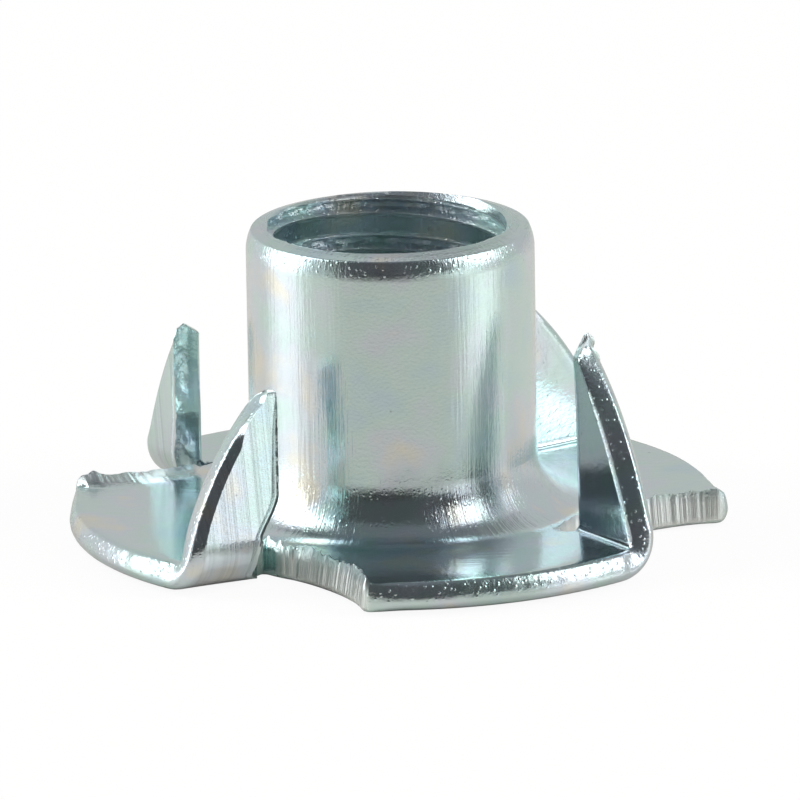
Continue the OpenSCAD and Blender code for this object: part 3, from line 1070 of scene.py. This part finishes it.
# %% Softboxes and cards
# Distance of every light and card from the nut, in metres.
STUDIO_R = 0.62
# A softbox's border fades to this, which is as bright as the walls round it.
WALL = 0.58


def aim(obj, azimuth, elevation):
    """Puts a light or card at two angles, facing the nut; azimuth 0 is the front."""
    a, e = radians(azimuth), radians(elevation)
    obj.location = STUDIO_R * Vector((sin(a) * cos(e), -cos(a) * cos(e), sin(e)))
    obj.rotation_euler = (-obj.location).to_track_quat("-Z", "Y").to_euler()


def spans(wide, tall):
    """Half the width and height that fill the given angles either side of the middle."""
    return STUDIO_R * tan(radians(wide)), STUDIO_R * tan(radians(tall))


def board(name, azimuth, elevation, wide, tall):
    """A flat board, seen only in reflections."""
    made = rectangle(name, *spans(wide, tall))
    aim(made, azimuth, elevation)
    for ray in ("camera", "diffuse", "shadow", "transmission"):
        setattr(made, "visible_" + ray, False)
    material = bpy.data.materials.new(name)
    made.data.materials.append(material)
    return cleared(material)


def card(name, azimuth, elevation, wide, tall, paint, strength=1.0):
    """A board of one even colour."""
    t = board(name, azimuth, elevation, wide, tall)
    node(t, "OutputMaterial", Surface=node(t, "Emission", Color=colour(paint), Strength=strength))


def softbox(name, azimuth, elevation, wide, tall, glow):
    """A lamp for the table, and its front as reflections see it, hot in the middle."""
    lamp = bpy.data.lights.new(name, "AREA")
    lamp.shape = "RECTANGLE"
    # The lamp fills the middle 0.6 of the box each way.
    lamp.size, lamp.size_y = [1.2 * v for v in spans(wide, tall)]
    lamp.energy = 2.0 * glow * pi * lamp.size * lamp.size_y
    box = put(name, lamp)
    aim(box, azimuth, elevation)
    box.visible_glossy = False
    t = board(name + "_front", azimuth, elevation, wide, tall)
    across = node(t, "SeparateXYZ", Vector=node(t, "TexCoord").outputs["Generated"])
    # Each side is even as far as its solid part, and fades from there to the edge.
    fade = []
    for side, solid in (("X", 0.34), ("Y", 0.36)):
        off = maths(t, "ABSOLUTE", maths(t, "SUBTRACT", across.outputs[side], 0.5))
        fade.append(between(t, off, solid, 0.5, 1.0, 0.0, "SMOOTHSTEP"))
    hot = maths(t, "MULTIPLY_ADD", maths(t, "MULTIPLY", *fade), glow - WALL, WALL)
    front = node(t, "Emission", Color=colour("#FFFFFF"), Strength=hot)
    node(t, "OutputMaterial", Surface=front)


softbox("left_softbox", -94, 28, 19, 34, 2.9)
softbox("right_softbox", 75, 34, 20, 28, 2.9)
card("ceiling_card", 0, 90, 30, 30, "#6D7074")
card("front_card", -10, 37, 38, 24, "#515153")
card("low_front_card", -10, 5, 34, 9, "#424040")
card("right_low_card", 64, 4, 12, 8, "#FFFFFF", 1.3)
card("upper_right_card", 40, 48, 18, 16, "#505153")
card("lower_right_card", 44, 19, 31, 14, "#4E5051")
card("upper_back_card", 130, 55, 28, 8, "#8A8988")
card("left_back_card", -135, 10, 20, 11, "#DEDDDA")
print("lights and cards set")

# %% [markdown]
# ## Camera
# The camera stands about 15 degrees above the table and half a metre back,
# with a long lens, so the barrel's sides stay almost parallel.

# %% Camera
ELEVATION, DISTANCE, AIM_Z = radians(14.82), 0.460, 0.00575
# A hair of roll, in radians, and how far the frame is shifted off the lens's middle.
ROLL_ANGLE, SHIFT = -0.0166, (7.5 / 800, -10.55 / 800)
camera_data = bpy.data.cameras.new("camera")
camera = put("camera", camera_data)
bpy.context.scene.camera = camera
camera.location = (0, -DISTANCE * cos(ELEVATION), AIM_Z + DISTANCE * sin(ELEVATION))
look = Matrix.Rotation(pi / 2 - ELEVATION, 4, "X") @ Matrix.Rotation(ROLL_ANGLE, 4, "Z")
camera.rotation_euler = look.to_euler()
camera_data.sensor_width = 36
camera_data.lens = 518.5
camera_data.shift_x, camera_data.shift_y = SHIFT
camera_data.clip_start, camera_data.clip_end = 0.01, 20
bpy.context.scene.view_settings.view_transform = "Standard"
print("camera at, mm:", [round(1000 * v, 1) for v in camera.location])
